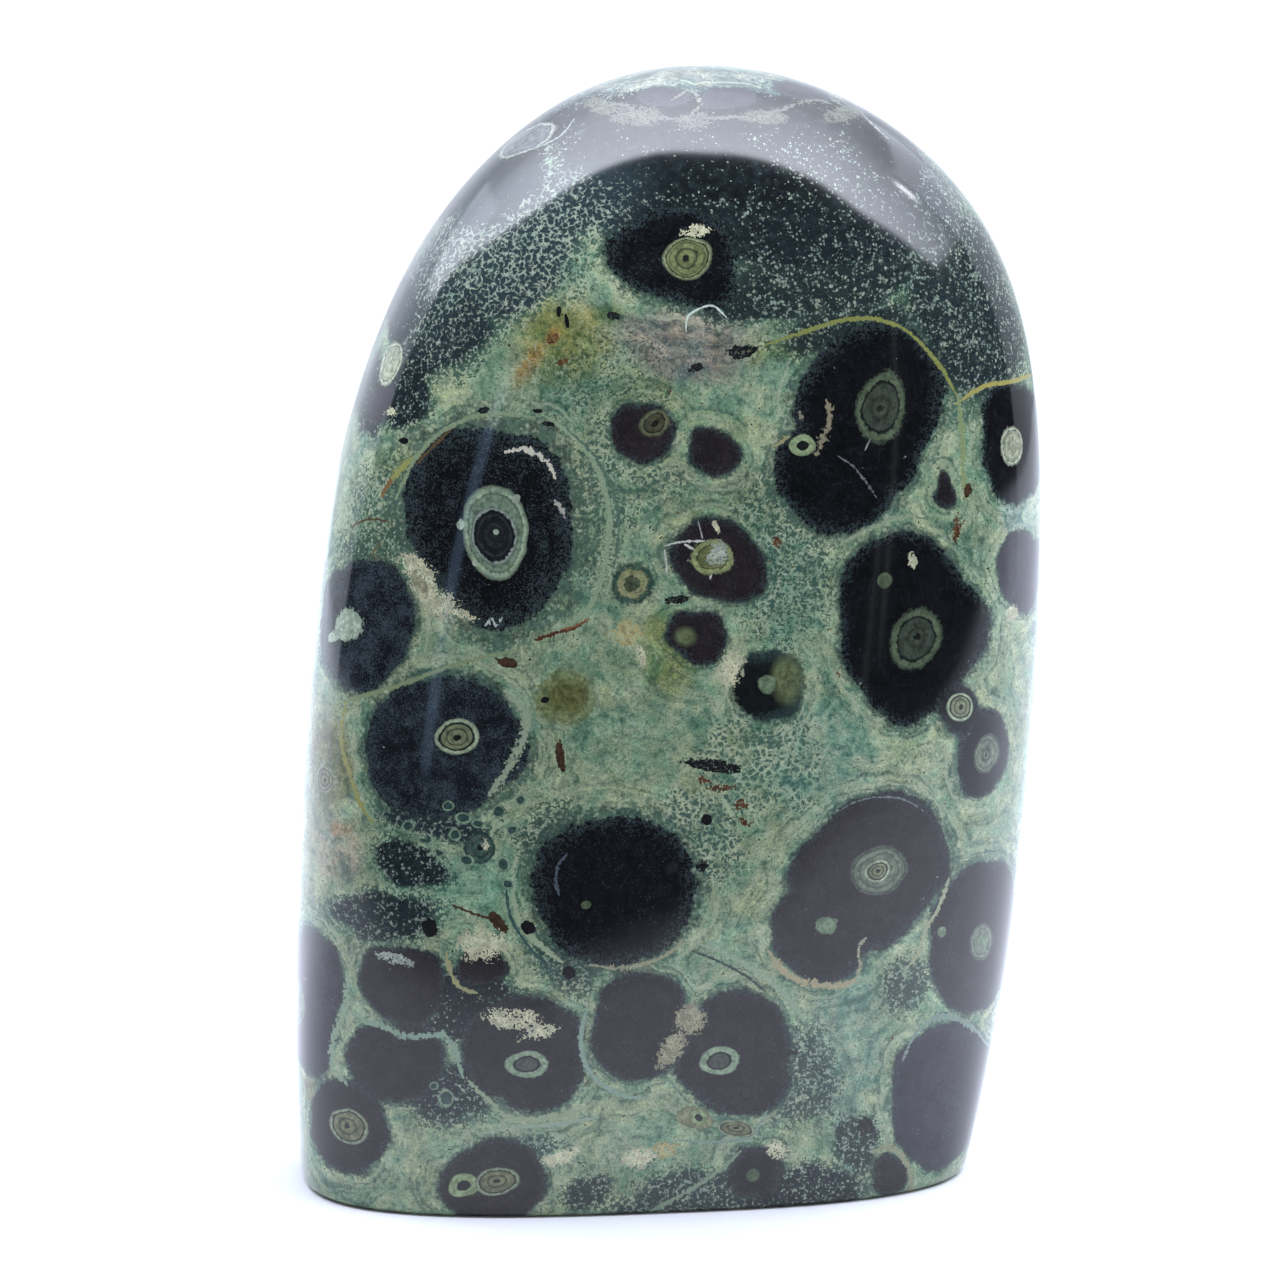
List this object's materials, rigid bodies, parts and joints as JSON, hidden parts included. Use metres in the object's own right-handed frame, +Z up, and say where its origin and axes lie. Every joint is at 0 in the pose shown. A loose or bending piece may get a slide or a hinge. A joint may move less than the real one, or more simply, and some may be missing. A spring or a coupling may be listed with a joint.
{
  "type": "polished kambaba jasper freeform",
  "caption": "Free-standing polished freeform of dark green orbicular kambaba jasper, domed at the top, with a flat sawn base to stand on.",
  "frame": {"origin": "middle of the flat base, on the surface that the stone stands on", "axes": "+Z up, -Y out of the broad front face, +X along the face to the right"},
  "size_m": [0.093, 0.048, 0.138],
  "materials": {
    "polished_jasper": "polished"
  },
  "bodies": {
    "root": {"stone": "polished_jasper"}
  },
  "joints": []
}
